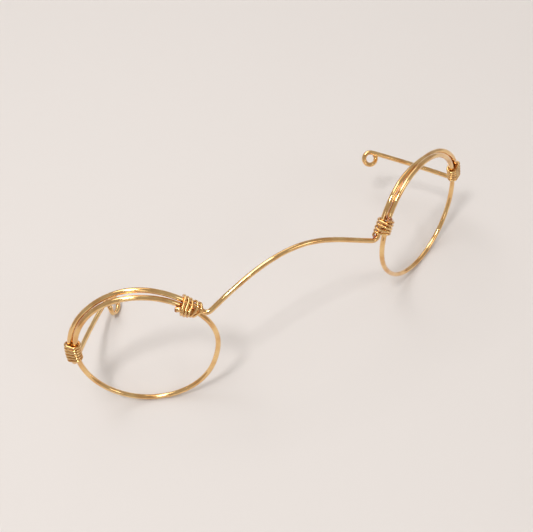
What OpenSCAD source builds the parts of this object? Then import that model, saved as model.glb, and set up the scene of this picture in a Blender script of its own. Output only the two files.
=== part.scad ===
// Round spectacle frame twisted up by hand from craft wire, without lenses, and bent out of true.
// One long frame wire makes both temples, both brows and the bridge. Each lens is a ring of the
// same wire, and four bindings of fine wire hold the rings to the frame wire.
// X runs across the lenses, Y runs from front to back, and the frame rests on the surface z = 0.
// Left is the -X side. Angles round a lens start at its lowest point and grow outwards and up.

/* [Wire] */
// Diameter of the frame wire and of the ring wires
wire_d = 1.0; // [0.8:0.05:1.2]
// Diameter of the fine binding wire
bind_d = 0.5; // [0.4:0.05:0.8]
// Clearance between wires that lie against each other
wire_gap = 0.06; // [0.03:0.01:0.12]
// Radius at the middle of the wire in the sharp bends beside the outer bindings
outer_bend_r = 0.8; // [0.75:0.05:1.2]
// Radius at the middle of the wire in the bends at the two ends of the bridge
bridge_bend_r = 1.1; // [0.75:0.05:1.1]
// Length of wire from a binding to the corner of the bend beside it
bend_reach = 1.15; // [1.15:0.05:2.5]

/* [Lens rings] */
// Mean radius of each ring
ring_r = 13; // [10:0.5:16]
// Distance between the middles of the two rings
lens_spacing = 60.8; // [50:0.2:75]
// Turn of the left lens towards the left, in degrees
left_yaw = 22; // [0:0.5:35]
// Turn of the right lens towards the right, in degrees
right_yaw = 22.5; // [0:0.5:35]
// Backward lean of the left lens, in degrees
left_lean = 19.5; // [0:0.5:30]
// Backward lean of the right lens, in degrees
right_lean = 11.5; // [0:0.5:30]
// How far the left ring's hidden end is pressed inside the circle
left_tuck = 0.4; // [0:0.05:0.8]
// How far the right ring's hidden end is pressed inside the circle
right_tuck = 0.0; // [0:0.05:0.8]
// How far the left lower arc springs outwards where it leaves the inner binding
left_spring = 0.55; // [0:0.05:1.2]
// How far the right lower arc springs outwards where it leaves the inner binding
right_spring = 0.3; // [0:0.05:1.2]
// Roll of the left ring's bound end out from straight in front of its other end, in degrees
left_stub_roll = 0; // [0:1:60]
// Roll of the right ring's bound end out from straight in front of its other end, in degrees
right_stub_roll = 55; // [0:1:60]
// Length of the left ring's cut end that shows beyond the inner binding
left_stub_len = 0.5; // [0.1:0.05:2]
// Length of the right ring's cut end that shows beyond the inner binding
right_stub_len = 0.15; // [0.1:0.05:2]
// Flare of the left ring's cut end back towards the middle of the lens, in degrees of roll
left_stub_flare = 34; // [0:1:50]
// Flare of the right ring's cut end back towards the middle of the lens, in degrees of roll
right_stub_flare = 0; // [0:1:50]

/* [Brows] */
// Widest gap that opens between the left brow and its ring
left_brow_gap = 0.3; // [0:0.05:0.6]
// Widest gap that opens between the right brow and its ring
right_brow_gap = 0.0; // [0:0.05:0.6]
// How far round behind its ring the left brow lies in the outer binding, in degrees
left_outer_roll = 20; // [-40:1:60]
// How far round behind its ring the right brow lies in the outer binding, in degrees
right_outer_roll = -10; // [-40:1:60]
// Gap held open between the right brow and its ring in the outer binding
right_outer_gap = 0.15; // [0:0.05:0.4]
// How far round behind its ring the left brow lies in the middle, in degrees
left_brow_roll = 52; // [0:1:120]
// How far round behind its ring the right brow lies in the middle, in degrees
right_brow_roll = 105; // [0:1:120]
// How far round behind its ring the left brow lies where it leaves the inner binding, in degrees
left_exit_roll = -23; // [-40:1:60]
// How far round behind its ring the right brow lies where it leaves the inner binding, in degrees
right_exit_roll = 25; // [-40:1:60]

/* [Bindings] */
// Angle round the left lens to the middle of its outer binding
left_outer_at = 97; // [85:1:110]
// Angle round the right lens to the middle of its outer binding
right_outer_at = 95; // [85:1:110]
// Angle round the left lens to the middle of its inner binding
left_inner_at = 226.5; // [215:0.5:240]
// Angle round the right lens to the middle of its inner binding
right_inner_at = 236.5; // [215:0.5:240]
// Turns of fine wire in the left outer binding
left_outer_turns = 6; // [3:0.25:8]
// Turns of fine wire in the right outer binding
right_outer_turns = 5; // [3:0.25:8]
// Turns of fine wire in each inner binding
inner_turns = 5; // [3:0.25:6]
// Space left between the turns of the inner bindings
inner_spread = 0.02; // [0:0.01:0.3]
// How far a turn strays from its even place
turn_stray = 0.02; // [0:0.005:0.03]
// How far each turn of the left inner binding leans along its bundle
left_turn_lean = 0.2; // [-0.1:0.05:0.4]
// How far each turn of the right inner binding leans along its bundle
right_turn_lean = 0; // [-0.1:0.05:0.4]
// How far the last ends of fine wire stand off their bundles, from left to right
tail_out = [0.1, 0.1, 0.4, 0.1]; // [0:0.05:1]

/* [Bridge] */
// Rise of the bridge above its two bends
bridge_rise = 5.8; // [3:0.1:12]
// Slope of the bridge where it leaves the left bend, in degrees
bridge_left_slope = 24; // [15:0.5:50]
// Slope of the bridge where it leaves the right bend, in degrees
bridge_right_slope = 27.5; // [15:0.5:50]
// How much further the left slope runs before it curves than the right slope
bridge_skew = 9.5; // [0:0.5:14]
// Backward lean of the bridge, in degrees
bridge_lean = 23.5; // [0:0.5:30]

/* [Temples] */
// Distance over the surface from the left bend to the end of the temple
left_reach = 18.1; // [12:0.1:40]
// Distance over the surface from the right bend to the end of the temple
right_reach = 18.7; // [12:0.1:40]
// Inward turn of the left temple from straight back, in degrees
left_toe_in = 33; // [0:0.5:60]
// Inward turn of the right temple from straight back, in degrees
right_toe_in = 41; // [0:0.5:60]
// Upward bow of the left temple
left_bow = -1.2; // [-2:0.1:3]
// Upward bow of the right temple
right_bow = -0.6; // [-2:0.1:3]
// Outward bow of the left temple
left_bow_out = 1.1; // [-1:0.1:3]
// Outward bow of the right temple
right_bow_out = 0.8; // [-1:0.1:3]
// Mean radius of the curl that ends the left temple
left_curl_r = 1.8; // [1.1:0.05:2.5]
// Mean radius of the curl that ends the right temple
right_curl_r = 1.35; // [1.1:0.05:2.5]
// Turn of wire in each curl, whose end passes beside the temple, in degrees
curl_turn = 325; // [270:5:340]
// Height of the left curl's underside above the surface
left_curl_lift = 0; // [0:0.1:3]
// Height of the right curl's underside above the surface
right_curl_lift = 11.1; // [5:0.1:14]
// Sideways tilt of the left curl, in degrees
left_curl_tilt = -29; // [-60:1:60]
// Sideways tilt of the right curl, in degrees
right_curl_tilt = -48; // [-60:1:60]

/* [Hidden] */

LEFT = 0;
RIGHT = 1;
SIDE_SIGN = [-1, 1];
yaw = [left_yaw, right_yaw];
lean = [left_lean, right_lean];
tuck = [left_tuck, right_tuck];
brow_gap = [left_brow_gap, right_brow_gap];
brow_roll = [left_brow_roll, right_brow_roll];
outer_at = [left_outer_at, right_outer_at];
inner_at = [left_inner_at, right_inner_at];
outer_turns = [left_outer_turns, right_outer_turns];
reach = [left_reach, right_reach];
toe_in = [left_toe_in, right_toe_in];
bow = [left_bow, right_bow];
bow_out = [left_bow_out, right_bow_out];
spring = [left_spring, right_spring];
stub_len = [left_stub_len, right_stub_len];
stub_flare = [left_stub_flare, right_stub_flare];
stub_roll = [left_stub_roll, right_stub_roll];
turn_lean = [left_turn_lean, right_turn_lean];
outer_gap = [0, right_outer_gap];
outer_roll = [left_outer_roll, right_outer_roll];
exit_roll = [left_exit_roll, right_exit_roll];
curl_r = [left_curl_r, right_curl_r];
curl_lift = [left_curl_lift, right_curl_lift];
curl_tilt = [left_curl_tilt, right_curl_tilt];

// Centre distance of two frame wires side by side, and of fine wire round a frame wire
pair = wire_d + wire_gap;
wrap_r = wire_d / 2 + wire_gap + bind_d / 2;
// Roll of each brow behind its ring where it enters the inner binding, in degrees
inner_roll = [31, 46];
// Share of a brow after which the gap between it and its ring opens
gap_from = 0.3;
// Further clearance where two wires cross at a slant in an inner binding
cross_gap = 0.38;
// Slack in the turns of fine wire, and how much of a wire's width they look ahead to its slant
bind_slack = 0.03;
slant_reach = 0.35;
// Which way the fine wire's ends face: 0 is into the lens, 90 is back and 180 is out, in degrees
outer_from = 120;
inner_from = [110, 180];
// Which way a leaning turn faces where it lies furthest along its bundle, in degrees
lean_at = -30;
// Length of wire over which a cut end flares
flare_run = 0.7;
// Share of the inner binding over which the ring's two ends lie side by side
free_share = 0.15;
// Angle past the inner binding at which the ring wire is back in the plane of the ring
settle_past = 2;
// Angle past the inner binding at which the ring wire is back in its circle
settle_angle = 60;
// Turn of a curl at which it begins to pass beside the temple, and turn that this takes
drift_from = 200;
drift_over = 90;
// Distances between turns, measured at the middle of the bundle
outer_pitch = (bind_d + wire_gap + 2 * turn_stray) * (ring_r + pair / 2) / (ring_r - wrap_r);
inner_pitch = (bind_d + wire_gap + inner_spread) * (ring_r + pair / 2) / (ring_r - wrap_r);

// Facets: sides of a wire, and steps along arcs, curls, bends, the bridge, temples and turns
wire_sides = 12;
bind_sides = 8;
arc_step = 5;
curl_steps = 20;
bend_steps = 8;
bridge_steps = 30;
temple_steps = 16;
turn_steps = 18;

function unit(v) = v / norm(v);
function mix(p, q, t) = p + (q - p) * t;
function reverse(list) = [for (i = [len(list) - 1 : -1 : 0]) list[i]];
// 0 before t = 0, 1 after t = 1, and between them t itself or a smooth step
function within(t) = min(1, max(0, t));
function smooth(t) = let (u = within(t)) u * u * (3 - 2 * u);
// A single hump of height 1 between t = 0 and t = 1
function hump(t) = t <= 0 || t >= 1 ? 0 : pow(sin(180 * t), 2);
// Angle at the middle of a lens that a length round the ring takes up
function ring_angle(length) = length / ring_r * 180 / PI;
function arc_angles(from, to) =
    let (n = max(1, ceil(abs(to - from) / arc_step))) [for (i = [0 : n]) mix(from, to, i / n)];

// Where the bindings begin and end round each lens
function outer_half(side) = ring_angle(outer_turns[side] * outer_pitch) / 2;
inner_half = ring_angle(inner_turns * inner_pitch) / 2;
function outer_low(side) = outer_at[side] - outer_half(side);
function outer_high(side) = outer_at[side] + outer_half(side);
function inner_high(side) = inner_at[side] - inner_half;
function inner_low(side) = inner_at[side] + inner_half;

// A point on the object, from polar places in the plane of one lens
function lens_point(side, angle, radius, back) =
    let (
        out = radius * sin(angle),
        up = -radius * cos(angle),
        deep = back * cos(lean[side]) + up * sin(lean[side]),
        high = up * cos(lean[side]) - back * sin(lean[side])
    )
    [
        SIDE_SIGN[side] * (lens_spacing / 2 + out * cos(yaw[side]) - deep * sin(yaw[side])),
        out * sin(yaw[side]) + deep * cos(yaw[side]),
        high + ring_r * cos(lean[side]) + wire_d / 2
    ];

// Ring wire: it starts in front of its other end, and moves into the plane of the ring past that end
function ring_start(side) = inner_high(side) - 360 - ring_angle(stub_len[side] + bind_d / 2);
function free_from(side) = mix(inner_high(side), inner_low(side), free_share);
function ring_end(side) = free_from(side) - ring_angle(wire_d / 3);
// 1 along the ring's other end, 0 where the wire is back in the plane of the ring
function start_share(side, angle) =
    1 - smooth((angle + 360 - free_from(side)) / (inner_low(side) + settle_past - free_from(side)));
// 0 where the ring's other end stops, 1 where the first part has settled into its circle
function start_run(side, angle) =
    (angle + 360 - free_from(side)) / (inner_low(side) + settle_angle - free_from(side));
function start_roll(side, angle) =
    stub_roll[side]
    - stub_flare[side] * smooth((inner_high(side) - 360 - angle) / ring_angle(flare_run));
function ring_back(side, angle) =
    -pair * cos(start_roll(side, angle)) * start_share(side, angle);
function ring_radius(side, angle) =
    let (share = start_share(side, angle))
    ring_r
    + (pair * sin(start_roll(side, angle)) - tuck[side]) * share
    + spring[side] * hump(start_run(side, angle))
    - tuck[side] * smooth((angle - outer_high(side) - 40) / 50);
function ring_place(side, angle) = [ring_radius(side, angle), ring_back(side, angle)];
function ring_point(side, angle) =
    lens_point(side, angle, ring_radius(side, angle), ring_back(side, angle));
function ring_path(side) =
    [for (angle = arc_angles(ring_start(side), ring_end(side))) ring_point(side, angle)];

// The ring's place at its other end, and past that end the place of its first part
function core_place(side, angle) =
    mix(ring_place(side, angle - 360), [ring_radius(side, angle), 0], start_share(side, angle - 360));

// Brow: the part of the frame wire that runs over a ring, outside it and behind it
function brow_share(side, angle) =
    (angle - outer_high(side)) / (inner_high(side) - outer_high(side));
function brow_place(side, angle) =
    let (
        share = brow_share(side, angle),
        opening = hump(share),
        bound = mix(outer_roll[side], inner_roll[side], smooth(share)),
        leaving = pow(within((angle - inner_high(side)) / (inner_low(side) - inner_high(side))), 2),
        roll = mix(mix(bound, brow_roll[side], opening), exit_roll[side], leaving),
        off = pair + outer_gap[side] * (1 - smooth(2 * share))
              + brow_gap[side] * hump((share - gap_from) / (1 - gap_from)),
        place = core_place(side, angle) + off * [cos(roll), sin(roll)]
    )
    clear_of(place, ring_place(side, angle - 360), pair + cross_gap * leaving);
// A place moved straight away from another, if need be, to keep a distance from it
function clear_of(place, other, distance) =
    other + (place - other) * max(1, distance / norm(place - other));
function brow_point(side, angle) =
    let (place = brow_place(side, angle))
    lens_point(side, angle, place[0], place[1]);
function brow_path(side) =
    [for (angle = arc_angles(outer_low(side), inner_low(side))) brow_point(side, angle)];
// Corners of the two bends beside the bindings, straight on from the brow's ends
function outer_corner(side) =
    let (end = brow_point(side, outer_low(side)))
    end + bend_reach * unit(end - brow_point(side, outer_low(side) + 1));
function inner_corner(side) =
    let (end = brow_point(side, inner_low(side)))
    end + bend_reach * unit(end - brow_point(side, inner_low(side) - 1));

// A round bend at a corner, between the lines from it towards two points
function bend(before, corner, after, radius) =
    let (
        a = unit(before - corner),
        b = unit(after - corner),
        open = acos(a * b),
        middle = corner + unit(a + b) * radius / sin(open / 2),
        from = corner + a * radius / tan(open / 2) - middle,
        to = corner + b * radius / tan(open / 2) - middle,
        sweep = 180 - open
    )
    [for (i = [0 : bend_steps])
        middle + (sin(sweep * (1 - i / bend_steps)) * from + sin(sweep * i / bend_steps) * to)
                 / sin(sweep)];
function bezier(points, t) =
    pow(1 - t, 3) * points[0] + 3 * t * pow(1 - t, 2) * points[1]
    + 3 * t * t * (1 - t) * points[2] + pow(t, 3) * points[3];

// Temple: from the outer corner inwards and back, bowed up, to the top of the curl
function temple_end(side, height) =
    let (corner = outer_corner(side))
    [
        corner[0] - SIDE_SIGN[side] * reach[side] * sin(toe_in[side]),
        corner[1] + reach[side] * cos(toe_in[side]),
        height
    ];
function temple_handle(side, end, share) =
    mix(outer_corner(side), end, share)
    + [
        SIDE_SIGN[side] * bow_out[side] * cos(toe_in[side]),
        bow_out[side] * sin(toe_in[side]),
        bow[side]
    ];
function temple_point(side, end, t) =
    bezier([outer_corner(side), temple_handle(side, end, 0.3), temple_handle(side, end, 0.7), end], t);
// Direction from the top of the curl to its middle, at a right angle to the temple's end
function curl_down(side, along) =
    let (
        across = unit(cross(along, [0, 0, 1])),
        down = cross(along, across)
    )
    down * cos(curl_tilt[side]) + across * SIDE_SIGN[side] * sin(curl_tilt[side]);
// Height of the temple's end at which the curl's underside is at its lift, found by repetition
function settled_height(side, height, tries) =
    let (
        end = temple_end(side, height),
        along = unit(end - temple_handle(side, end, 0.7)),
        down = curl_down(side, along),
        drop = curl_r[side] * (norm([along[2], down[2]]) - down[2]) + wire_d / 2
    )
    tries == 0 ? height : settled_height(side, curl_lift[side] + drop, tries - 1);
function curl_path(side, end) =
    let (
        along = unit(end - temple_handle(side, end, 0.7)),
        down = curl_down(side, along),
        aside = cross(down, along) * (pair + wire_gap)
    )
    [for (i = [1 : curl_steps])
        let (turn = curl_turn * i / curl_steps)
        end + curl_r[side] * (down * (1 - cos(turn)) + along * sin(turn))
            + aside * smooth((turn - drift_from) / drift_over)];
function temple_path(side) =
    let (
        end = temple_end(side, settled_height(side, curl_r[side], 12)),
        first = temple_point(side, end, 2 / temple_steps)
    )
    concat(
        bend(brow_point(side, outer_low(side)), outer_corner(side), first, outer_bend_r),
        [for (i = [2 : temple_steps]) temple_point(side, end, i / temple_steps)],
        curl_path(side, end)
    );

// Bridge: one arch from the left inner corner to the right inner corner
bridge_up = [0, sin(bridge_lean), cos(bridge_lean)];
bridge_handle = bridge_rise / 0.375 / (sin(bridge_left_slope) + sin(bridge_right_slope));
bridge_left_dir = [cos(bridge_left_slope), 0, 0] + sin(bridge_left_slope) * bridge_up;
bridge_right_dir = [-cos(bridge_right_slope), 0, 0] + sin(bridge_right_slope) * bridge_up;
bridge_curve = [
    inner_corner(LEFT),
    inner_corner(LEFT) + bridge_left_dir * (bridge_handle + bridge_skew / 2),
    inner_corner(RIGHT) + bridge_right_dir * (bridge_handle - bridge_skew / 2),
    inner_corner(RIGHT)
];
function bridge_point(i) = bezier(bridge_curve, i / bridge_steps);
bridge_path = concat(
    bend(brow_point(LEFT, inner_low(LEFT)), inner_corner(LEFT), bridge_point(2), bridge_bend_r),
    [for (i = [2 : bridge_steps - 2]) bridge_point(i)],
    bend(
        bridge_point(bridge_steps - 2), inner_corner(RIGHT),
        brow_point(RIGHT, inner_low(RIGHT)), bridge_bend_r
    )
);

frame_path = concat(
    reverse(temple_path(LEFT)),
    brow_path(LEFT),
    bridge_path,
    reverse(brow_path(RIGHT)),
    temple_path(RIGHT)
);

// Bundles that the bindings hold: the wires' places [radius, back] at and beside an angle
function bundle(side, inner, angle) =
    [for (step = [-1 : 1])
        let (at = angle + step * ring_angle(slant_reach * wire_d))
        each concat(
            [core_place(side, at), brow_place(side, at)],
            inner ? [ring_place(side, at - 360)] : []
        )];
// The place in a bundle that lies furthest in one direction
function furthest(places, toward, i = 0, best = 0) =
    i == len(places) ? places[best]
    : furthest(places, toward, i + 1, places[i] * toward > places[best] * toward ? i : best);

// Binding: a helix of fine wire pulled tight round its bundle, like a band round two or three pegs
function binding_path(side, inner, turns, first_angle, pitch, tail) =
    let (steps = round(turns * turn_steps))
    [for (i = [0 : steps])
        let (
            turned = 360 * turns * i / steps,
            facing = turned + (inner ? inner_from[side] : outer_from),
            toward = [-cos(facing), sin(facing)],
            stray = turn_stray * sin(turned * 0.41),
            leant = inner ? turn_lean[side] * cos(facing - lean_at) : 0,
            angle = first_angle + ring_angle(pitch * turned / 360 + stray + leant),
            last_part = max(0, 1 - (steps - i) / (turn_steps / 4)),
            place = furthest(bundle(side, inner, angle), toward)
                    + toward * (wrap_r + bind_slack + tail * pow(last_part, 2))
        )
        lens_point(side, angle, place[0], place[1])];
function outer_binding_path(side, tail) =
    binding_path(side, false, outer_turns[side], outer_low(side), outer_pitch, tail);
function inner_binding_path(side, tail) =
    binding_path(side, true, inner_turns, inner_high(side), inner_pitch, tail);

main_paths = concat(frame_path, ring_path(LEFT), ring_path(RIGHT));
fine_paths = concat(
    outer_binding_path(LEFT, tail_out[0]),
    inner_binding_path(LEFT, tail_out[1]),
    inner_binding_path(RIGHT, tail_out[2]),
    outer_binding_path(RIGHT, tail_out[3])
);
// Middle of the whole object along one axis, so that its box stands centred on the origin
function least(paths, axis, d) = min([for (p = paths) p[axis]]) - d / 2;
function greatest(paths, axis, d) = max([for (p = paths) p[axis]]) + d / 2;
function middle(axis) =
    (min(least(main_paths, axis, wire_d), least(fine_paths, axis, bind_d))
    + max(greatest(main_paths, axis, wire_d), greatest(fine_paths, axis, bind_d))) / 2;
centre_shift = [-middle(0), -middle(1), 0];

// Directions along a path, and one direction across it that is carried along without twist
function along_path(path) =
    [for (i = [0 : len(path) - 1])
        unit(path[min(i + 1, len(path) - 1)] - path[max(i - 1, 0)])];
function any_across(v) = unit(cross(v, abs(v[2]) < 0.8 ? [0, 0, 1] : [1, 0, 0]));
function square_to(v, t) = unit(v - t * (v * t));
function across_path(tangents) =
    [for (
        i = 0, across = any_across(tangents[0]);
        i < len(tangents);
        i = i + 1, across = i < len(tangents) ? square_to(across, tangents[i]) : across
    ) across];

// A wire of round section along a path, with flat cut ends
module wire(path, d, sides) {
    tangents = along_path(path);
    across = across_path(tangents);
    last = (len(path) - 1) * sides;
    points = [for (i = [0 : len(path) - 1])
        let (side_way = cross(tangents[i], across[i]))
        for (k = [0 : sides - 1])
            path[i] + d / 2 * (cos(360 * k / sides) * across[i] + sin(360 * k / sides) * side_way)];
    skin = [for (i = [0 : len(path) - 2])
        for (k = [0 : sides - 1])
            let (a = i * sides + k, b = i * sides + (k + 1) % sides)
            [a, a + sides, b + sides, b]];
    first_cap = [for (k = [0 : sides - 1]) k];
    last_cap = [for (k = [sides - 1 : -1 : 0]) last + k];
    translate(centre_shift)
        polyhedron(points = points, faces = concat([first_cap], skin, [last_cap]));
}

module frame_wire() {
    color("goldenrod") wire(frame_path, wire_d, wire_sides);
}

module left_ring() {
    color("gold") wire(ring_path(LEFT), wire_d, wire_sides);
}

module right_ring() {
    color("gold") wire(ring_path(RIGHT), wire_d, wire_sides);
}

module left_outer_binding() {
    color("khaki") wire(outer_binding_path(LEFT, tail_out[0]), bind_d, bind_sides);
}

module left_inner_binding() {
    color("khaki") wire(inner_binding_path(LEFT, tail_out[1]), bind_d, bind_sides);
}

module right_inner_binding() {
    color("khaki") wire(inner_binding_path(RIGHT, tail_out[2]), bind_d, bind_sides);
}

module right_outer_binding() {
    color("khaki") wire(outer_binding_path(RIGHT, tail_out[3]), bind_d, bind_sides);
}

frame_wire();
left_ring();
right_ring();
left_outer_binding();
left_inner_binding();
right_inner_binding();
right_outer_binding();
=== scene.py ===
"""Looks of a small round spectacle frame, without lenses, twisted up by hand from gold coloured wire.

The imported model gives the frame's places. Each wire is drawn again here as a fine round sweep along
the same path, because its polish shows every facet of a coarse one. All lengths of wire are worked
out in millimetres, and turned to metres where a mesh is made.
"""

import logging
import math
from dataclasses import dataclass, field
from enum import Enum

import bpy
import numpy as np
from mathutils import Matrix, Vector


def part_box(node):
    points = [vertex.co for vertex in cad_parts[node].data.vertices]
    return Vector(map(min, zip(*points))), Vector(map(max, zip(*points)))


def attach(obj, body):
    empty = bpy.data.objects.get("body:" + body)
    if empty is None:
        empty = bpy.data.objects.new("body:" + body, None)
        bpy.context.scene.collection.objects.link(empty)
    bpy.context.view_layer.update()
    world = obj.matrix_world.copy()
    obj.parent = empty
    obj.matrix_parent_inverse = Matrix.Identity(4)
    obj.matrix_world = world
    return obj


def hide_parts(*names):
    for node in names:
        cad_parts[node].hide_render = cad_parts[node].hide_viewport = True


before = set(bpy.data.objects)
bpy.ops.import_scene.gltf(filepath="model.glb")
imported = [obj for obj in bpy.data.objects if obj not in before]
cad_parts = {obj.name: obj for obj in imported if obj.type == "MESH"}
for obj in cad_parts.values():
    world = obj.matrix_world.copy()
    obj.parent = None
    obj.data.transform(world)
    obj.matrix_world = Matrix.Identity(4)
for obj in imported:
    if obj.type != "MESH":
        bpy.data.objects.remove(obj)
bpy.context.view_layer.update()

LOG = logging.getLogger("wire_spectacles")
MM = 0.001
LEAST_BEND_POINTS = 6
# the middle of a cubic curve rises by this share of what its two handles rise together
MIDDLE_SHARE = 0.375

Points = np.ndarray


# ---- small sums


def unit(v: Points) -> Points:
    """Vectors of length one along the last axis."""
    return v / np.linalg.norm(v, axis=-1, keepdims=True)


def smooth(t: Points | float) -> Points:
    """A smooth step: 0 before t = 0, 1 after t = 1."""
    t = np.clip(t, 0.0, 1.0)
    return t * t * (3.0 - 2.0 * t)


def hump(t: Points | float) -> Points:
    """A single hump of height 1 between t = 0 and t = 1."""
    t = np.clip(t, 0.0, 1.0)
    return np.sin(math.pi * t) ** 2


def mix(a: Points | float, b: Points | float, t: Points | float) -> Points:
    """The value a share t of the way from a to b."""
    return a + (b - a) * t


def sind(degrees: Points | float) -> Points:
    """Sine of an angle in degrees."""
    return np.sin(np.radians(degrees))


def cosd(degrees: Points | float) -> Points:
    """Cosine of an angle in degrees."""
    return np.cos(np.radians(degrees))


def run_along(path: Points) -> Points:
    """Length of a path from its start to each of its points."""
    return np.r_[0.0, np.cumsum(np.linalg.norm(np.diff(path, axis=0), axis=1))]


def resample(path: Points, step: float) -> Points:
    """A path with evenly spaced points.

    Args:
        path: points along the path, in millimetres.
        step: distance between the new points, in millimetres.

    Returns:
        The new points, with the two ends kept.
    """
    run = run_along(path)
    count = max(2, int(round(run[-1] / step)) + 1)
    at = np.linspace(0.0, run[-1], count)
    return np.stack([np.interp(at, run, path[:, k]) for k in range(3)], axis=1)


def relax(path: Points, rounds: int) -> Points:
    """A path with its corners eased, and its two ends kept.

    Args:
        path: evenly spaced points along the path.
        rounds: how often each point moves halfway to the mean of its two neighbours.

    Returns:
        The eased points.
    """
    for _ in range(rounds):
        path = path.copy()
        path[1:-1] = 0.25 * path[:-2] + 0.5 * path[1:-1] + 0.25 * path[2:]
    return path


def bezier(a: Points, b: Points, c: Points, d: Points, t: Points | float) -> Points:
    """Points along a cubic curve with four control points, where t runs from 0 to 1."""
    t = np.atleast_1d(t)[:, None]
    return (1 - t) ** 3 * a + 3 * t * (1 - t) ** 2 * b + 3 * t * t * (1 - t) * c + t**3 * d


def bend(before: Points, corner: Points, after: Points, radius: float, step: float) -> Points:
    """A round bend at a corner.

    Args:
        before: a point on the line into the corner.
        corner: where the two lines meet.
        after: a point on the line out of the corner.
        radius: radius of the bend.
        step: distance between points.

    Returns:
        Points along the bend.
    """
    a, b = unit(before - corner), unit(after - corner)
    opening = math.acos(float(a @ b))
    reach = radius / math.tan(opening / 2)
    middle = corner + unit(a + b) * radius / math.sin(opening / 2)
    start, stop = corner + a * reach - middle, corner + b * reach - middle
    turn = math.pi - opening
    at = np.linspace(0.0, 1.0, max(LEAST_BEND_POINTS, int(radius * turn / step)))[:, None]
    return middle + (np.sin(turn * (1 - at)) * start + np.sin(turn * at) * stop) / math.sin(turn)


# ---- sizes of the real thing


class Side(Enum):
    """The two sides of the frame, by the sign of their place along X."""

    LEFT = -1
    RIGHT = 1


class Binding(Enum):
    """The two bindings of fine wire on each lens."""

    OUTER = "where the temple begins, round the ring and the brow"
    INNER = "where the bridge begins, round the brow and both ends of the ring"


class Gauge(Enum):
    """The two thicknesses of wire, by the record's material slots."""

    FRAME = "frame_wire"
    BINDING = "binding_wire"


@dataclass(frozen=True)
class WireSizes:
    """Sizes that every wire shares, in millimetres and degrees.

    Attributes:
        wire_d: diameter of the frame wire and of the rings.
        bind_d: diameter of the fine wire.
        gap: clearance between wires that lie side by side.
        gap_from: share of the brow at which it begins to open from its ring.
        gap_until: share of the brow by which the gap beside the outer binding has closed.
        cross_gap: further clearance between the brow and the ring's first part where the
            brow leaves the inner binding.
        bind_slack: clearance between a binding and the wires that it holds.
        slant_reach: how far along the bundle a binding feels it, as a share of wire_d.
        turn_stray: how far the turns of a binding stray from an even pitch.
        stray_rate: how often that stray comes and goes in one turn.
        tail_turn: share of a turn over which the binding's end stands off.
        outer_bend_r: radius of the bend from the brow to the temple.
        bridge_bend_r: radius of the bend from the brow to the bridge.
        bend_reach: length of wire from the brow's end to the corner of its bend.
        curl_turn: how far round the temple's end is curled.
        drift_from: how far round the curl begins to pass beside its own start.
        drift_over: how much of the turn that passing takes.
    """

    wire_d: float = 1.0
    bind_d: float = 0.5
    gap: float = 0.06
    gap_from: float = 0.3
    gap_until: float = 0.5
    cross_gap: float = 0.38
    bind_slack: float = 0.03
    slant_reach: float = 0.35
    turn_stray: float = 0.02
    stray_rate: float = 0.41
    tail_turn: float = 0.25
    outer_bend_r: float = 0.8
    bridge_bend_r: float = 1.1
    bend_reach: float = 1.15
    curl_turn: float = 325.0
    drift_from: float = 200.0
    drift_over: float = 90.0

    @property
    def pair(self) -> float:
        """Distance between the middles of two frame wires that lie side by side."""
        return self.wire_d + self.gap

    @property
    def wrap_r(self) -> float:
        """Radius at the middle of fine wire that is wound round one frame wire."""
        return self.wire_d / 2 + self.gap + self.bind_d / 2

    def diameter(self, gauge: Gauge) -> float:
        """Diameter of a wire of either thickness."""
        return self.bind_d if gauge is Gauge.BINDING else self.wire_d


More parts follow.
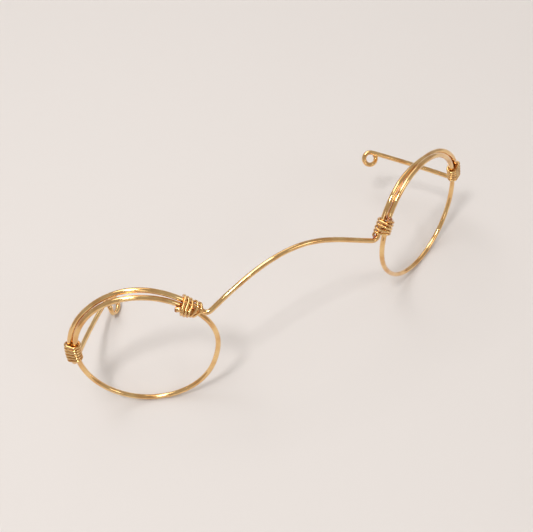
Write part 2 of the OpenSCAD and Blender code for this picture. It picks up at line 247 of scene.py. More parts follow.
@dataclass(frozen=True)
class LensSizes:
    """Where one lens stands and how its wires lie, in millimetres and degrees.

    Angles round the lens start at its lowest point and grow outwards and up. A roll is the
    direction from one wire to its neighbour, across the ring wire.

    Attributes:
        side: which lens it is.
        yaw: how far the lens's outer side is swept back.
        lean: how far its top leans back.
        tuck: how far the inner binding draws the ring in.
        spring: how far the ring springs out past that binding.
        stub_roll: roll of the ring's first part, from in front of its hidden end outwards.
        stub_len: how far the ring's cut end stands out of the binding.
        stub_flare: how far that end is rolled the other way at its tip.
        outer_gap: extra gap between brow and ring beside the outer binding.
        outer_roll: roll of the brow in the outer binding, from outside the ring backwards.
        brow_gap: extra gap between brow and ring past the middle of the brow.
        brow_roll: roll of the brow at its middle.
        inner_roll: roll of the brow as it comes into the inner binding.
        exit_roll: roll of the brow as it leaves the inner binding.
        outer_at: angle at the middle of the outer binding.
        outer_from: direction in which the outer binding's first turn begins.
        outer_turns: turns of the outer binding.
        outer_tail: how far the end of the outer binding stands off.
        inner_at: angle at the middle of the inner binding.
        inner_from: direction in which the inner binding's first turn begins.
        inner_turns: turns of the inner binding.
        inner_tail: how far the end of the inner binding stands off.
        inner_spread: extra distance between turns of the inner binding.
        turn_lean: how far each of its turns leans along the bundle.
        lean_at: direction in which that lean is greatest.
        reach: distance from the temple's corner to its curl, as seen from above.
        toe_in: how far the temple turns towards the other one.
        bow: how far the two middle points that shape the temple are raised.
        bow_out: how far they are pushed outwards.
        handle_share: how far they are from the temple's ends, as a share of its length.
        bend_share: share of the temple's curve that its first bend takes up.
        curl_r: radius of the curl at the temple's end.
        curl_lift: height of the curl's underside above the surface.
        curl_tilt: how far the curl lies over.
        ring_r: mean radius of the ring.
        spacing: distance between the middles of the two lenses.
        flare_run: length over which the ring's cut end is rolled.
        settle: angle past the inner binding over which the ring springs.
        settle_past: angle past the inner binding at which the ring is in its plane again.
        free_share: share of the inner binding past which it holds only one end of the ring.
        hidden_share: how far short of there the ring's hidden end stops, as a share of wire_d.
        tuck_from: angle past the outer binding at which the ring begins to be drawn in.
        tuck_over: angle over which it is drawn in.
        settle_rounds: how often the height of the temple's end is worked out again.
    """

    side: Side
    yaw: float
    lean: float
    tuck: float
    spring: float
    stub_roll: float
    stub_len: float
    stub_flare: float
    outer_gap: float
    outer_roll: float
    brow_gap: float
    brow_roll: float
    inner_roll: float
    exit_roll: float
    outer_at: float
    outer_turns: float
    inner_at: float
    inner_from: float
    inner_tail: float
    turn_lean: float
    reach: float
    toe_in: float
    bow: float
    bow_out: float
    curl_r: float
    curl_lift: float
    curl_tilt: float
    outer_from: float = 120.0
    outer_tail: float = 0.1
    inner_turns: float = 5.0
    inner_spread: float = 0.02
    lean_at: float = -30.0
    handle_share: float = 0.3
    bend_share: float = 0.125
    ring_r: float = 13.0
    spacing: float = 60.8
    flare_run: float = 0.7
    settle: float = 60.0
    settle_past: float = 2.0
    free_share: float = 0.15
    hidden_share: float = 1 / 3
    tuck_from: float = 40.0
    tuck_over: float = 50.0
    settle_rounds: int = 13


LEFT_LENS = LensSizes(
    side=Side.LEFT, yaw=22.0, lean=19.5, tuck=0.4, spring=0.55,
    stub_roll=0.0, stub_len=0.5, stub_flare=34.0,
    outer_gap=0.0, outer_roll=20.0, brow_gap=0.3, brow_roll=52.0, inner_roll=31.0, exit_roll=-23.0,
    outer_at=97.0, outer_turns=6.0,
    inner_at=226.5, inner_from=110.0, inner_tail=0.1, turn_lean=0.2,
    reach=18.1, toe_in=33.0, bow=-1.2, bow_out=1.1,
    curl_r=1.8, curl_lift=0.0, curl_tilt=-29.0,
)
RIGHT_LENS = LensSizes(
    side=Side.RIGHT, yaw=22.5, lean=11.5, tuck=0.0, spring=0.3,
    stub_roll=55.0, stub_len=0.15, stub_flare=0.0,
    outer_gap=0.15, outer_roll=-10.0, brow_gap=0.0, brow_roll=105.0, inner_roll=46.0, exit_roll=25.0,
    outer_at=95.0, outer_turns=5.0,
    inner_at=236.5, inner_from=180.0, inner_tail=0.4, turn_lean=0.0,
    reach=18.7, toe_in=41.0, bow=-0.6, bow_out=0.8,
    curl_r=1.35, curl_lift=11.1, curl_tilt=-48.0,
)


@dataclass(frozen=True)
class BridgeSizes:
    """Shape of the bridge between its two bends, in millimetres and degrees.

    Attributes:
        rise: about how far the arch's middle rises above its two corners.
        left_slope: slope at which it leaves the left lens.
        right_slope: slope at which it leaves the right lens.
        skew: how much longer the left end's handle is than the right end's.
        lean: how far the arch leans back.
        bend_share: share of the curve that the bend at each end takes up.
        points: points along the curve between the bends.
    """

    rise: float = 5.8
    left_slope: float = 24.0
    right_slope: float = 27.5
    skew: float = 9.5
    lean: float = 23.5
    bend_share: float = 1 / 15
    points: int = 261


# ---- paths of the wires


@dataclass(frozen=True)
class LensPaths:
    """Paths of the wires round one lens.

    A place is a pair: distance from the middle of the lens, and distance behind its plane. The
    step is the distance between points along the frame wire and the ring.
    """

    wires: WireSizes
    lens: LensSizes
    step: float
    steps_a_turn: int = 60

    def ring_angle(self, length: float) -> float:
        """Angle at the middle of the lens that a length round the ring takes up."""
        return math.degrees(length / self.lens.ring_r)

    def spread_at_middle(self, pitch: float) -> float:
        """A pitch on the tight side of the bundle, as it is at the bundle's middle."""
        r = self.lens.ring_r
        return pitch * (r + self.wires.pair / 2) / (r - self.wires.wrap_r)

    @property
    def outer_pitch(self) -> float:
        """Distance between turns of an outer binding, at the middle of the bundle."""
        w = self.wires
        return self.spread_at_middle(w.bind_d + w.gap + 2 * w.turn_stray)

    @property
    def inner_pitch(self) -> float:
        """Distance between turns of an inner binding, at the middle of the bundle."""
        w = self.wires
        return self.spread_at_middle(w.bind_d + w.gap + self.lens.inner_spread)

    @property
    def outer_span(self) -> tuple[float, float]:
        """Angles at which the outer binding begins and ends."""
        half = self.ring_angle(self.lens.outer_turns * self.outer_pitch) / 2
        return self.lens.outer_at - half, self.lens.outer_at + half

    @property
    def inner_span(self) -> tuple[float, float]:
        """Angles at which the inner binding begins and ends, from the brow to the bridge."""
        half = self.ring_angle(self.lens.inner_turns * self.inner_pitch) / 2
        return self.lens.inner_at - half, self.lens.inner_at + half

    @property
    def free_from(self) -> float:
        """Angle past which the ring's first part is free of its hidden end."""
        return mix(*self.inner_span, self.lens.free_share)

    def point(self, angle: Points, place: Points) -> Points:
        """Points in the frame's own axes.

        Args:
            angle: angles round the lens, in degrees.
            place: the place at each of those angles.

        Returns:
            The points: across to the right, back and up.
        """
        s = self.lens
        out = place[..., 0] * sind(angle)
        up = -place[..., 0] * cosd(angle)
        deep = place[..., 1] * cosd(s.lean) + up * sind(s.lean)
        high = up * cosd(s.lean) - place[..., 1] * sind(s.lean)
        return np.stack(
            [
                s.side.value * (s.spacing / 2 + out * cosd(s.yaw) - deep * sind(s.yaw)),
                out * sind(s.yaw) + deep * cosd(s.yaw),
                high + s.ring_r * cosd(s.lean) + self.wires.wire_d / 2,
            ],
            axis=-1,
        )

    def start_share(self, angle: Points) -> Points:
        """1 where the ring's first part lies along its other end, 0 once it is in plane."""
        end = self.inner_span[1] + self.lens.settle_past
        return 1 - smooth((angle + 360 - self.free_from) / (end - self.free_from))

    def ring_place(self, angle: Points) -> Points:
        """Places of the ring wire.

        Args:
            angle: angles round the lens, below zero for the ring's first part.

        Returns:
            The place at each angle.
        """
        s, w = self.lens, self.wires
        begin, end = self.inner_span
        share = self.start_share(angle)
        flare = smooth((begin - 360 - angle) / self.ring_angle(s.flare_run))
        roll = s.stub_roll - s.stub_flare * flare
        run = (angle + 360 - self.free_from) / (end + s.settle - self.free_from)
        radius = (
            s.ring_r
            + (w.pair * sind(roll) - s.tuck) * share
            + s.spring * hump(run)
            - s.tuck * smooth((angle - self.outer_span[1] - s.tuck_from) / s.tuck_over)
        )
        return np.stack([radius, -w.pair * cosd(roll) * share], axis=-1)

    def core_place(self, angle: Points) -> Points:
        """Places of the wire that the brow runs along.

        Args:
            angle: angles round the lens.

        Returns:
            The places of the ring's hidden end, and past that end of its first part.
        """
        first = self.ring_place(angle - 360)
        last = self.ring_place(angle)
        last[..., 1] = 0.0
        return mix(first, last, self.start_share(angle - 360)[..., None])

    def brow_place(self, angle: Points) -> Points:
        """Places of the brow, which runs over the ring, outside it and behind it.

        Args:
            angle: angles round the lens.

        Returns:
            The place at each angle, never nearer than a clear pair to the ring's first part.
        """
        s, w = self.lens, self.wires
        begin, end = self.inner_span
        share = (angle - self.outer_span[1]) / (begin - self.outer_span[1])
        bound = mix(s.outer_roll, s.inner_roll, smooth(share))
        leaving = np.clip((angle - begin) / (end - begin), 0, 1) ** 2
        roll = mix(mix(bound, s.brow_roll, hump(share)), s.exit_roll, leaving)
        closing = 1 - smooth(share / w.gap_until)
        opening = hump((share - w.gap_from) / (1 - w.gap_from))
        off = w.pair + s.outer_gap * closing + s.brow_gap * opening
        beside = np.stack([cosd(roll), sind(roll)], axis=-1)
        place = self.core_place(angle) + off[..., None] * beside
        first = self.ring_place(angle - 360)
        apart = np.linalg.norm(place - first, axis=-1)
        keep = np.maximum(1.0, (w.pair + w.cross_gap * leaving) / apart)
        return first + (place - first) * keep[..., None]

    def brow_point(self, angle: float) -> Points:
        """One point of the brow, in the frame's own axes."""
        at = np.array([angle])
        return self.point(at, self.brow_place(at))[0]

    def ring_path(self) -> Points:
        """The ring wire.

        Returns:
            Points from its showing cut end to its hidden one.
        """
        s, w = self.lens, self.wires
        begin = self.inner_span[0] - 360
        start = begin - self.ring_angle(s.stub_len + w.bind_d / 2)
        stop = self.free_from - self.ring_angle(w.wire_d * s.hidden_share)
        angle = np.arange(start, stop, self.ring_angle(self.step))
        return self.point(angle, self.ring_place(angle))

    def brow_path(self) -> Points:
        """The brow.

        Returns:
            Points from the outer binding's lower end to the inner binding's lower end.
        """
        angle = np.arange(self.outer_span[0], self.inner_span[1], self.ring_angle(self.step))
        angle = np.r_[angle, self.inner_span[1]]
        return self.point(angle, self.brow_place(angle))

    def corner(self, angle: float, back: float) -> Points:
        """A bend's corner, straight on from the brow's end at an angle.

        Args:
            angle: angle round the lens of the brow's end.
            back: angle from that end back along the brow, with its sign.

        Returns:
            The corner's place, in the frame's own axes.
        """
        at = np.array([angle, angle + back])
        end, before = self.point(at, self.brow_place(at))
        return end + self.wires.bend_reach * unit(end - before)

    @property
    def outer_corner(self) -> Points:
        """Corner of the bend where the temple begins."""
        return self.corner(self.outer_span[0], 1.0)

    @property
    def inner_corner(self) -> Points:
        """Corner of the bend where the bridge begins."""
        return self.corner(self.inner_span[1], -1.0)

    def temple_end(self, height: float) -> Points:
        """Where the temple meets its curl.

        Args:
            height: height of that place above the surface.

        Returns:
            The place.
        """
        s = self.lens
        x, y, _ = self.outer_corner
        return np.array([
            x - s.side.value * s.reach * sind(s.toe_in), y + s.reach * cosd(s.toe_in), height
        ])

    def temple_handles(self, end: Points) -> tuple[Points, Points]:
        """The two middle points that shape the temple's sweep.

        Args:
            end: where the temple meets its curl.

        Returns:
            The middle point nearer the lens, and the one nearer the curl.
        """
        s, corner = self.lens, self.outer_corner
        bow = np.array([
            s.side.value * s.bow_out * cosd(s.toe_in), s.bow_out * sind(s.toe_in), s.bow
        ])
        return mix(corner, end, s.handle_share) + bow, mix(corner, end, 1 - s.handle_share) + bow

    def curl_axes(self, end: Points) -> tuple[Points, Points]:
        """The plane of the temple's curl.

        Args:
            end: where the temple meets its curl.

        Returns:
            The direction of the temple's end, and the one from there to the curl's middle.
        """
        along = unit(end - self.temple_handles(end)[1])
        across = unit(np.cross(along, [0.0, 0.0, 1.0]))
        tilt = self.lens.curl_tilt
        down = np.cross(along, across) * cosd(tilt)
        return along, down + across * self.lens.side.value * sind(tilt)

    def settled_end(self) -> Points:
        """The temple's end, at the height that puts its curl's underside at its lift.

        Returns:
            The end's place, which is worked out in rounds because the curl's own tilt
            changes a little with it.
        """
        s, height = self.lens, self.lens.curl_r
        for _ in range(s.settle_rounds):
            end = self.temple_end(height)
            along, down = self.curl_axes(end)
            drop = s.curl_r * (math.hypot(along[2], down[2]) - down[2]) + self.wires.wire_d / 2
            height = s.curl_lift + drop
        return end

    def temple_path(self) -> Points:
        """The temple and its curl.

        Returns:
            Points from the bend at the outer binding to the end of the wire.
        """
        s, corner, end = self.lens, self.outer_corner, self.settled_end()
        controls = (corner, *self.temple_handles(end), end)
        shares = np.linspace(0.0, 1.0, int(s.reach / self.step) + 1)
        past_bend = np.abs(shares - s.bend_share).argmin()
        before = self.brow_point(self.outer_span[0])
        after = bezier(*controls, s.bend_share)[0]
        return np.vstack([
            bend(before, corner, after, self.wires.outer_bend_r, self.step),
            bezier(*controls, shares[past_bend:]),
            self.curl_path(end),
        ])

    def curl_path(self, end: Points) -> Points:
        """The curl at the temple's end, which passes beside its own start.

        Args:
            end: where the temple meets its curl.

        Returns:
            Points from just past that place to the end of the wire.
        """
        w, r = self.wires, self.lens.curl_r
        along, down = self.curl_axes(end)
        count = int(math.radians(w.curl_turn) * r / self.step)
        turn = np.linspace(0.0, w.curl_turn, count + 1)[1:, None]
        aside = np.cross(down, along) * (w.pair + w.gap)
        drift = smooth((turn - w.drift_from) / w.drift_over)
        return end + r * (down * (1 - cosd(turn)) + along * sind(turn)) + aside * drift

    def bundle(self, binding: Binding, angle: float) -> Points:
        """Places of the wires that a binding holds, at an angle and close to it.

        Args:
            binding: which of the two bindings it is.
            angle: angle round the lens.

        Returns:
            The places, three for each wire.
        """
        near = self.ring_angle(self.wires.slant_reach * self.wires.wire_d)
        at = angle + np.array([-near, 0.0, near])
        places = [self.core_place(at), self.brow_place(at)]
        if binding is Binding.INNER:
            places.append(self.ring_place(at - 360.0))
        return np.concatenate(places)

    def binding_path(self, binding: Binding) -> Points:
        """Fine wire pulled tight round its bundle, like a band round two or three pegs.

        Args:
            binding: which of the two bindings it is.

        Returns:
            The path of the fine wire.
        """
        s, w = self.lens, self.wires
        if binding is Binding.INNER:
            turns, pitch, tail, lean = s.inner_turns, self.inner_pitch, s.inner_tail, s.turn_lean
            first, facing_from = self.inner_span[0], s.inner_from
        else:
            turns, pitch, tail, lean = s.outer_turns, self.outer_pitch, s.outer_tail, 0.0
            first, facing_from = self.outer_span[0], s.outer_from
        steps = int(round(turns * self.steps_a_turn))
        path = []
        for i in range(steps + 1):
            turned = 360.0 * turns * i / steps
            facing = turned + facing_from
            toward = np.array([-cosd(facing), sind(facing)])
            stray = w.turn_stray * sind(turned * w.stray_rate)
            leant = lean * cosd(facing - s.lean_at)
            angle = first + self.ring_angle(pitch * turned / 360 + stray + leant)
            last = max(0.0, 1 - (steps - i) / (self.steps_a_turn * w.tail_turn))
            places = self.bundle(binding, angle)
            off = w.wrap_r + w.bind_slack + tail * last**2
            place = places[np.argmax(places @ toward)] + toward * off
            path.append(self.point(np.array(angle), place))
        return np.array(path)


@dataclass(frozen=True)
class SpectaclePaths:
    """Paths of every wire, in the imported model's axes, with points a step apart."""

    wires: WireSizes = field(default_factory=WireSizes)
    bridge: BridgeSizes = field(default_factory=BridgeSizes)
    step: float = 0.12

    @property
    def left(self) -> LensPaths:
        """The paths round the left lens."""
        return LensPaths(self.wires, LEFT_LENS, self.step)

    @property
    def right(self) -> LensPaths:
        """The paths round the right lens."""
        return LensPaths(self.wires, RIGHT_LENS, self.step)

    def bridge_path(self) -> Points:
        """The bridge, with the bend at each end of it.

        Returns:
            Points from the left lens to the right one.
        """
        b, left, right = self.bridge, self.left, self.right
        up = np.array([0.0, sind(b.lean), cosd(b.lean)])
        handle = b.rise / MIDDLE_SHARE / (sind(b.left_slope) + sind(b.right_slope))
        toward_right = np.array([cosd(b.left_slope), 0.0, 0.0]) + sind(b.left_slope) * up
        toward_left = np.array([-cosd(b.right_slope), 0.0, 0.0]) + sind(b.right_slope) * up
        start, stop = left.inner_corner, right.inner_corner
        controls = (
            start,
            start + toward_right * (handle + b.skew / 2),
            stop + toward_left * (handle - b.skew / 2),
            stop,
        )
        arch = bezier(*controls, np.linspace(b.bend_share, 1 - b.bend_share, b.points))
        left_end = left.brow_point(left.inner_span[1])
        right_end = right.brow_point(right.inner_span[1])
        radius = self.wires.bridge_bend_r
        return np.vstack([
            bend(left_end, start, arch[0], radius, self.step),
            arch,
            bend(arch[-1], stop, right_end, radius, self.step),
        ])

    def frame_wire(self) -> Points:
        """The one long wire.

        Returns:
            Points from the left curl to the right one.
        """
        return np.vstack([
            self.left.temple_path()[::-1],
            self.left.brow_path(),
            self.bridge_path(),
            self.right.brow_path()[::-1],
            self.right.temple_path(),
        ])

    def all_paths(self) -> dict[str, Points]:
        """Every wire's path.

        Returns:
            The paths by the names of their CAD nodes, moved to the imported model's axes.
        """
        paths = {
            "frame_wire": self.frame_wire(),
            "left_ring": self.left.ring_path(),
            "right_ring": self.right.ring_path(),
            "left_outer_binding": self.left.binding_path(Binding.OUTER),
            "left_inner_binding": self.left.binding_path(Binding.INNER),
            "right_inner_binding": self.right.binding_path(Binding.INNER),
            "right_outer_binding": self.right.binding_path(Binding.OUTER),
        }
        shift = self.shift_to_model()
        return {node: path + shift for node, path in paths.items()}

    def shift_to_model(self) -> Points:
        """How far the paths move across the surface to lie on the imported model.

        Returns:
            The move that gives the left ring's box the same middle as its CAD node.
        """
        path = self.left.ring_path()
        low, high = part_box("left_ring")
        node_middle = (np.array(low) + np.array(high)) / 2 / MM
        shift = node_middle - (path.min(axis=0) + path.max(axis=0)) / 2
        shift[2] = 0.0
        return shift


# ---- meshes


@dataclass(frozen=True)
class WireSweep:
    """A round wire swept along a path as one closed mesh.

    Attributes:
        name: name of the piece.
        path: points along its middle, in millimetres.
        diameter: its diameter, in millimetres.
        sides: points round it.
        bevel_share: length over which the cutters round its ends, as a share of its diameter.
        end_share: radius of the cut face, as a share of the wire's own.
        upright: upward part of a direction past which the wire counts as standing.
    """

    name: str
    path: Points
    diameter: float
    sides: int
    bevel_share: float = 0.06
    end_share: float = 0.9
    upright: float = 0.8

    def directions(self) -> tuple[Points, Points]:
        """Unit directions across the path, carried along it without twist.

        Returns:
            Two directions square to the path and to each other, at each point.
        """
        along = unit(np.gradient(self.path, axis=0))
        standing = abs(along[0][2]) >= self.upright
        seed = np.array([1.0, 0.0, 0.0]) if standing else np.array([0.0, 0.0, 1.0])
        across = [unit(np.cross(along[0], seed))]
        for t in along[1:]:
            across.append(unit(across[-1] - t * (across[-1] @ t)))
        across = np.array(across)
        return across, np.cross(along, across)

    def vertices(self, from_end: Points) -> Points:
        """Places of the mesh's vertices.

        Args:
            from_end: distance from each point of the path to the nearer end.

        Returns:
            The vertices in metres: a ring of them at each point, then the middles of the ends.
        """
        across, side = self.directions()
        turn = np.linspace(0.0, 2 * math.pi, self.sides, endpoint=False)
        into_bevel = np.clip(from_end / (self.bevel_share * self.diameter), 0, 1)
        ease = np.sqrt(1 - (1 - into_bevel) ** 2)
        radius = self.diameter / 2 * mix(self.end_share, 1.0, ease)
        ring = (
            np.cos(turn)[None, :, None] * across[:, None]
            + np.sin(turn)[None, :, None] * side[:, None]
        )
        body = self.path[:, None] + radius[:, None, None] * ring
        return np.vstack([body.reshape(-1, 3), self.path[:1], self.path[-1:]]) * MM

    def faces(self) -> list[tuple[int, ...]]:
        """The mesh's faces, which all look outwards.

        Returns:
            Each face's vertices: four-sided ones along the wire, then triangles at its ends.
        """
        n, count = self.sides, len(self.path)
        faces = []
        for i in range(count - 1):
            for k in range(n):
                a, b = i * n + k, i * n + (k + 1) % n
                faces.append((a, b, b + n, a + n))
        first, last, last_ring = count * n, count * n + 1, (count - 1) * n
        for k in range(n):
            after = (k + 1) % n
            faces.append((first, after, k))
            faces.append((last, last_ring + k, last_ring + after))
        return faces

    def map_surface(self, mesh: bpy.types.Mesh, run: Points) -> None:
        """Gives the mesh a UV map: length along the wire and girth round it, in millimetres.

        Args:
            mesh: the wire's mesh.
            run: length of the path up to each of its points.
        """
        layer = mesh.uv_layers.new(name="wire_mm")
        girth = math.pi * self.diameter
        uv = np.zeros((len(mesh.loops), 2), dtype=np.float32)
        at = 0
        for polygon in mesh.polygons:
            ids = list(polygon.vertices)
            if len(ids) == 4:
                i, k = divmod(ids[0], self.sides)
                g0, g1 = girth * k / self.sides, girth * (k + 1) / self.sides
                u0, u1 = run[i], run[i + 1]
                uv[at:at + 4] = [(u0, g0), (u0, g1), (u1, g1), (u1, g0)]
            at += len(ids)
        layer.data.foreach_set("uv", uv.ravel())

    def build(self) -> bpy.types.Object:
        """Makes the wire.

        Returns:
            The new object, with its length and girth in millimetres as its UV map and the
            distance to its nearer end as a point attribute.
        """
        run = run_along(self.path)
        from_end = np.minimum(run, run[-1] - run)
        mesh = bpy.data.meshes.new(self.name)
        mesh.from_pydata(self.vertices(from_end).tolist(), [], self.faces())
        mesh.update()
        self.map_surface(mesh, run)
        ends = np.r_[np.repeat(from_end, self.sides), 0.0, 0.0]
        attribute = mesh.attributes.new("from_end", "FLOAT", "POINT")
        attribute.data.foreach_set("value", ends.astype(np.float32))
        mesh.shade_smooth()
        for polygon in mesh.polygons:
            if len(polygon.vertices) == 3:
                polygon.use_smooth = False
        thing = bpy.data.objects.new(self.name, mesh)
        bpy.context.scene.collection.objects.link(thing)
        return thing


# ---- finishes


def linear(hex_colour: str) -> tuple[float, float, float, float]:
    """Turns a colour into the numbers that a node takes.

    Args:
        hex_colour: the colour as sRGB hex digits after a hash sign.

    Returns:
        Linear red, green, blue and alpha.
    """
    parts = [int(hex_colour[i:i + 2], 16) / 255 for i in (1, 3, 5)]
    lin = [c / 12.92 if c <= 0.04045 else ((c + 0.055) / 1.055) ** 2.4 for c in parts]
    return (*lin, 1.0)


class Dresser:
    """A material under construction: one node tree and a way to add to it."""

    def __init__(self, name: str) -> None:
        """Starts an empty material with its output."""
        self.material = bpy.data.materials.new(name)
        self.material.use_nodes = True
        self.tree = self.material.node_tree
        self.tree.nodes.clear()
        self.output = self.add("ShaderNodeOutputMaterial")

    def add(self, kind: str, settings: dict | None = None, **links: object) -> bpy.types.Node:
        """Adds a node.

        Args:
            kind: the node's type.
            settings: attributes of the node to set.
            links: inputs by name, with underscores for spaces, or by number, as i0 for the
                first: a socket to link, or a value.

        Returns:
            The new node.
        """
        node = self.tree.nodes.new(kind)
        for key, value in (settings or {}).items():
            setattr(node, key, value)
        for key, value in links.items():
            name = key.replace("_", " ")
            at = int(name[1:]) if name[0] == "i" and name[1:].isdigit() else name
            if isinstance(value, bpy.types.NodeSocket):
                self.tree.links.new(value, node.inputs[at])
            else:
                node.inputs[at].default_value = value
        return node

    def finish(self, shader: bpy.types.Node) -> bpy.types.Material:
        """Links a shader to the output and gives the material."""
        self.tree.links.new(shader.outputs["BSDF"], self.output.inputs["Surface"])
        return self.material


@dataclass(frozen=True)
class PlatedCopperWire:
    """Gold plated copper craft wire, drawn through a die, plated and lacquered.

    The plating gives mirror-like reflections with a warm yellow tint, and the clear lacquer
    over it gives paler ones. Drawing leaves very fine lines along the wire, handling dulls it
    in soft patches, and copper shows at a cut end. The real lines are a few hundredths of a
    millimetre wide, too fine to show, so they are drawn coarser.

    Attributes:
        name: name of the material.
        gold: colour of the bright plating.
        deep_gold: colour of the patches that handling has darkened.
        copper: colour of the bare metal at a cut end.
        tone_noise: values of the patch noise at which the darker colour begins and is full.
        patch_mm: width of those patches.
        roughness: roughness of the brightest and of the dullest plating.
        dull_noise: values of the patch noise at which those two are met.
        line_mm: distance between drawing lines round the wire.
        line_stretch: how often the lines change in a millimetre along the wire.
        line_strength: strength of their bump.
        line_height_mm: height of their bump.
        bare_mm: distances from a cut end at which the copper begins to fade and has gone.
        bare_dulling: what bare copper adds to the roughness.
        lacquer_roughness: roughness of the lacquer.
    """

    name: str
    gold: str = "#F7D08F"
    deep_gold: str = "#E1A760"
    copper: str = "#B4613A"
    tone_noise: tuple[float, float] = (0.35, 0.7)
    patch_mm: float = 2.5
    roughness: tuple[float, float] = (0.06, 0.12)
    dull_noise: tuple[float, float] = (0.3, 0.75)
    line_mm: float = 0.12
    line_stretch: float = 0.3
    line_strength: float = 0.02
    line_height_mm: float = 0.01
    bare_mm: tuple[float, float] = (0.08, 0.5)
    bare_dulling: float = 0.25
    lacquer_roughness: float = 0.05

    def make(self) -> bpy.types.Material:
        """Builds the material.

        Returns:
            The material, which reads the wire's UV map and its point attribute.
        """
        d = Dresser(self.name)
        uv = d.add("ShaderNodeUVMap", {"uv_map": "wire_mm"}).outputs["UV"]
        drawn = d.add(
            "ShaderNodeMapping", None, Vector=uv, Scale=(self.line_stretch, 1 / self.line_mm, 1.0)
        )
        lines = d.add(
            "ShaderNodeTexNoise", None, Vector=drawn.outputs["Vector"], Scale=1.0, Detail=3.0
        )
        metres = d.add("ShaderNodeTexCoord").outputs["Object"]
        patches = d.add(
            "ShaderNodeTexNoise", None, Vector=metres, Scale=1 / (self.patch_mm * MM), Detail=4.0
        ).outputs["Fac"]
        tone = d.add(
            "ShaderNodeMapRange", None, Value=patches,
            From_Min=self.tone_noise[0], From_Max=self.tone_noise[1], To_Min=0.0, To_Max=1.0,
        )
        # a colour Mix node takes its colours at inputs 6 and 7, and gives their mix at output 2
        plated = d.add(
            "ShaderNodeMix", {"data_type": "RGBA"}, Factor=tone.outputs["Result"],
            i6=linear(self.gold), i7=linear(self.deep_gold),
        )
        ends = d.add("ShaderNodeAttribute", {"attribute_name": "from_end"}).outputs["Fac"]
        bare = d.add(
            "ShaderNodeMapRange", None, Value=ends,
            From_Min=self.bare_mm[0], From_Max=self.bare_mm[1], To_Min=1.0, To_Max=0.0,
        )
        colour = d.add(
            "ShaderNodeMix", {"data_type": "RGBA"}, Factor=bare.outputs["Result"],
            i6=plated.outputs[2], i7=linear(self.copper),
        )
        rough = d.add(
            "ShaderNodeMapRange", None, Value=patches,
            From_Min=self.dull_noise[0], From_Max=self.dull_noise[1],
            To_Min=self.roughness[0], To_Max=self.roughness[1],
        )
        worn = d.add(
            "ShaderNodeMath", {"operation": "MULTIPLY_ADD"},
            i0=bare.outputs["Result"], i1=self.bare_dulling, i2=rough.outputs["Result"],
        )
        bump = d.add(
            "ShaderNodeBump", None, Height=lines.outputs["Fac"],
            Strength=self.line_strength, Distance=self.line_height_mm * MM,
        )
        return d.finish(d.add(
            "ShaderNodeBsdfPrincipled", None, Base_Color=colour.outputs[2],
            Roughness=worn.outputs["Value"], Metallic=1.0, Normal=bump.outputs["Normal"],
            Coat_Weight=1.0, Coat_Roughness=self.lacquer_roughness, Coat_IOR=1.5,
        ))


@dataclass(frozen=True)
class PaleCloth:
    """Matt pale woven cloth, pulled nearly flat under the frame.

    Its threads are left out, and only its soft, shallow folds are drawn.

    Attributes:
        name: name of the material.
        colour: colour of the cloth.
        roughness: roughness of the cloth.
        fold_mm: distance between folds.
        fold_strength: strength of their bump.
        fold_height_mm: height of their bump.
    """

    name: str = "pale_cloth"
    colour: str = "#E1DBD7"
    roughness: float = 0.9
    fold_mm: float = 22.0
    fold_strength: float = 0.15
    fold_height_mm: float = 2.0

    def make(self) -> bpy.types.Material:
        """Builds the material.

        Returns:
            The material.
        """
        d = Dresser(self.name)
        where = d.add("ShaderNodeTexCoord").outputs["Object"]
        folds = d.add(
            "ShaderNodeTexNoise", None, Vector=where, Scale=1 / (self.fold_mm * MM), Detail=2.0
        )
        bump = d.add(
            "ShaderNodeBump", None, Height=folds.outputs["Fac"],
            Strength=self.fold_strength, Distance=self.fold_height_mm * MM,
        )
        return d.finish(d.add(
            "ShaderNodeBsdfPrincipled", None, Base_Color=linear(self.colour),
            Roughness=self.roughness, Normal=bump.outputs["Normal"],
        ))


FRAME_WIRE_FINISH = PlatedCopperWire("gold_plated_frame_wire")
BINDING_WIRE_FINISH = PlatedCopperWire(
    "gold_plated_binding_wire", gold="#F5CE89", deep_gold="#DEA35B",
    roughness=(0.10, 0.18), line_mm=0.10, patch_mm=1.2,
)


# ---- the object


@dataclass(frozen=True)
class WireSpectacles:
    """The whole frame: seven wires, each drawn again in place of its CAD node.

    Attributes:
        paths: the paths of the wires.
        binding_step: distance between points along a binding, in millimetres.
        frame_sides: points round the frame wire and the rings.
        binding_sides: points round a binding's wire.
        smooth_rounds: how often each path is eased.
    """

    paths: SpectaclePaths = field(default_factory=SpectaclePaths)
    binding_step: float = 0.08
    frame_sides: int = 28
    binding_sides: int = 18
    smooth_rounds: int = 6

    def build_wire(
        self, node: str, path: Points, gauge: Gauge, finish: bpy.types.Material
    ) -> bpy.types.Object:
        """Makes and dresses one wire in place of its CAD node.

        Args:
            node: name of the CAD node.
            path: points along the wire, in millimetres.
            gauge: thickness of the wire.
            finish: material of the wire.

        Returns:
            The new object, which rides on the frame's one body.
        """
        fine = gauge is Gauge.BINDING
        even = resample(path, self.binding_step if fine else self.paths.step)
        wire = WireSweep(
            name=f"{node}_drawn",
            path=relax(even, self.smooth_rounds),
            diameter=self.paths.wires.diameter(gauge),
            sides=self.binding_sides if fine else self.frame_sides,
        ).build()
        wire.data.materials.append(finish)
        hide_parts(node)
        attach(wire, "root")
        return wire

    def build(self) -> list[bpy.types.Object]:
        """Makes and dresses every wire.

        Returns:
            The new objects.
        """
        finishes = {
            Gauge.FRAME: FRAME_WIRE_FINISH.make(),
            Gauge.BINDING: BINDING_WIRE_FINISH.make(),
        }
        wires = []
        for node, path in self.paths.all_paths().items():
            gauge = Gauge.BINDING if node.endswith("binding") else Gauge.FRAME
            wires.append(self.build_wire(node, path, gauge, finishes[gauge]))
        return wires


# ---- the setting


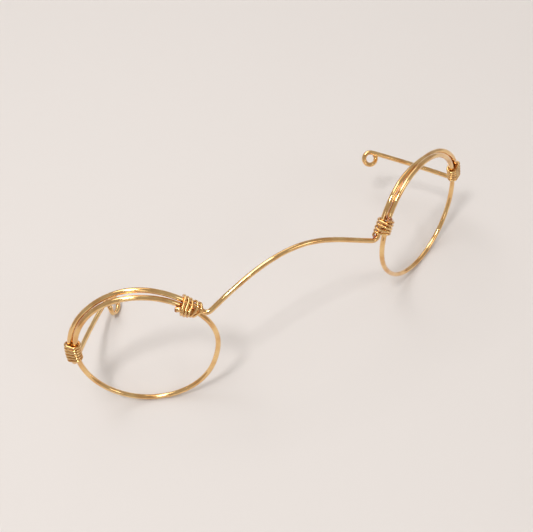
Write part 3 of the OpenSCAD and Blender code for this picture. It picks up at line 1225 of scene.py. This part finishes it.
@dataclass(frozen=True)
class SoftLight:
    """A soft rectangular light, as it stands round the frame.

    Attributes:
        name: what the light is called.
        direction: from the object to the middle of the light.
        width: its width as a share of its distance.
        length: its length as a share of its distance.
        brightness: its radiance, where a white floor lit from all round would need 1.
        turn: turn about its own middle, in degrees.
        distance: how far it stands from the object, in millimetres.
    """

    name: str
    direction: tuple[float, float, float]
    width: float
    length: float
    brightness: float
    turn: float = 0.0
    distance: float = 2000.0

    def build(self) -> None:
        """Adds the light, turned to face the object."""
        far = self.distance * MM
        data = bpy.data.lights.new(self.name, "AREA")
        data.shape, data.size, data.size_y = "RECTANGLE", self.width * far, self.length * far
        data.energy = self.brightness * math.pi * data.size * data.size_y
        lamp = bpy.data.objects.new(self.name, data)
        away = Vector(self.direction).normalized()
        spin = Matrix.Rotation(math.radians(self.turn), 4, "Z")
        facing = away.to_track_quat("Z", "Y").to_matrix().to_4x4()
        lamp.matrix_world = Matrix.Translation(away * far) @ facing @ spin
        bpy.context.scene.collection.objects.link(lamp)


LIGHTS = (
    # the key lamp stands near the frame, so that the shadows spread outwards from it
    SoftLight("key_lamp", (-0.325, -0.066, 0.943), 0.16, 0.20, 27.0, distance=400.0),
    SoftLight("main_softbox", (-0.15, 0.42, 0.89), 0.34, 0.80, 3.6, turn=-12.0),
    SoftLight("back_wash", (0.15, 0.72, 0.68), 0.60, 0.45, 1.2),
    SoftLight("front_window", (0.45, -0.67, 0.59), 0.34, 0.26, 2.5),
    SoftLight("left_window", (-0.50, -0.66, 0.56), 0.18, 0.22, 2.5),
)


@dataclass(frozen=True)
class Studio:
    """Floor, lights and camera.

    Attributes:
        lights: the lights.
        room_colour: colour of the light from the room all round.
        room_strength: brightness of that light.
        floor_half: half the width of the floor, in metres.
        focal_mm: focal length of the camera.
        sensor_mm: width of the camera's sensor.
        elevation: angle at which the camera looks down, in degrees.
        azimuth: how far it is turned from looking straight back towards the right, in degrees.
        roll: how far it is turned about its line of sight, in degrees.
        target: the place that it looks at, in millimetres and in the paths' own axes.
        distance: how far it stands from there, in millimetres.
        clip: nearest and furthest distance that it shows, in metres.
    """

    lights: tuple[SoftLight, ...] = LIGHTS
    room_colour: str = "#FFFAF5"
    room_strength: float = 0.46
    floor_half: float = 0.9
    focal_mm: float = 43.90244
    sensor_mm: float = 36.0
    elevation: float = 57.0
    azimuth: float = 22.5
    roll: float = -6.3
    target: tuple[float, float, float] = (-0.67, 9.28, 6.0)
    distance: float = 137.8
    clip: tuple[float, float] = (0.01, 20.0)

    def build(self, shift: Points) -> None:
        """Makes the floor, the lights and the camera.

        Args:
            shift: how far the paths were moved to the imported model, in millimetres.
        """
        self.make_floor()
        self.make_world()
        for light in self.lights:
            light.build()
        self.make_camera(shift)
        bpy.context.scene.view_settings.view_transform = "Standard"

    def make_floor(self) -> None:
        """A plain pale cloth that runs far past the view."""
        mesh = bpy.data.meshes.new("cloth_floor")
        half = self.floor_half
        corners = [(-half, -half, 0), (half, -half, 0), (half, half, 0), (-half, half, 0)]
        mesh.from_pydata(corners, [], [(0, 1, 2, 3)])
        floor = bpy.data.objects.new("cloth_floor", mesh)
        bpy.context.scene.collection.objects.link(floor)
        floor.data.materials.append(PaleCloth().make())

    def make_world(self) -> None:
        """A dim, nearly white room all round."""
        world = bpy.data.worlds.new("room")
        world.use_nodes = True
        background = world.node_tree.nodes["Background"]
        background.inputs["Color"].default_value = linear(self.room_colour)
        background.inputs["Strength"].default_value = self.room_strength
        bpy.context.scene.world = world

    def make_camera(self, shift: Points) -> None:
        """Adds the camera, which looks down at the frame from the front left.

        Args:
            shift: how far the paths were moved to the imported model, in millimetres.
        """
        e, a, roll = (math.radians(v) for v in (self.elevation, self.azimuth, self.roll))
        forward = Vector((math.sin(a) * math.cos(e), math.cos(a) * math.cos(e), -math.sin(e)))
        right = Vector((math.cos(a), -math.sin(a), 0.0))
        up = right.cross(forward)
        turned_right = math.cos(roll) * right + math.sin(roll) * up
        turned_up = -math.sin(roll) * right + math.cos(roll) * up
        data = bpy.data.cameras.new("camera")
        data.sensor_width = self.sensor_mm
        data.lens = self.focal_mm
        data.clip_start, data.clip_end = self.clip
        camera = bpy.data.objects.new("camera", data)
        place = (Vector(self.target) + Vector(shift)) * MM - forward * self.distance * MM
        turn = Matrix((turned_right, turned_up, -forward)).transposed().to_4x4()
        camera.matrix_world = Matrix.Translation(place) @ turn
        bpy.context.scene.collection.objects.link(camera)
        bpy.context.scene.camera = camera


def main() -> None:
    logging.basicConfig(level=logging.INFO, format="%(name)s: %(message)s")
    spectacles = WireSpectacles()
    for wire in spectacles.build():
        LOG.info("%s: %d faces", wire.name, len(wire.data.polygons))
    Studio().build(spectacles.paths.shift_to_model())
    bpy.context.view_layer.update()


if __name__ == "__main__":
    main()
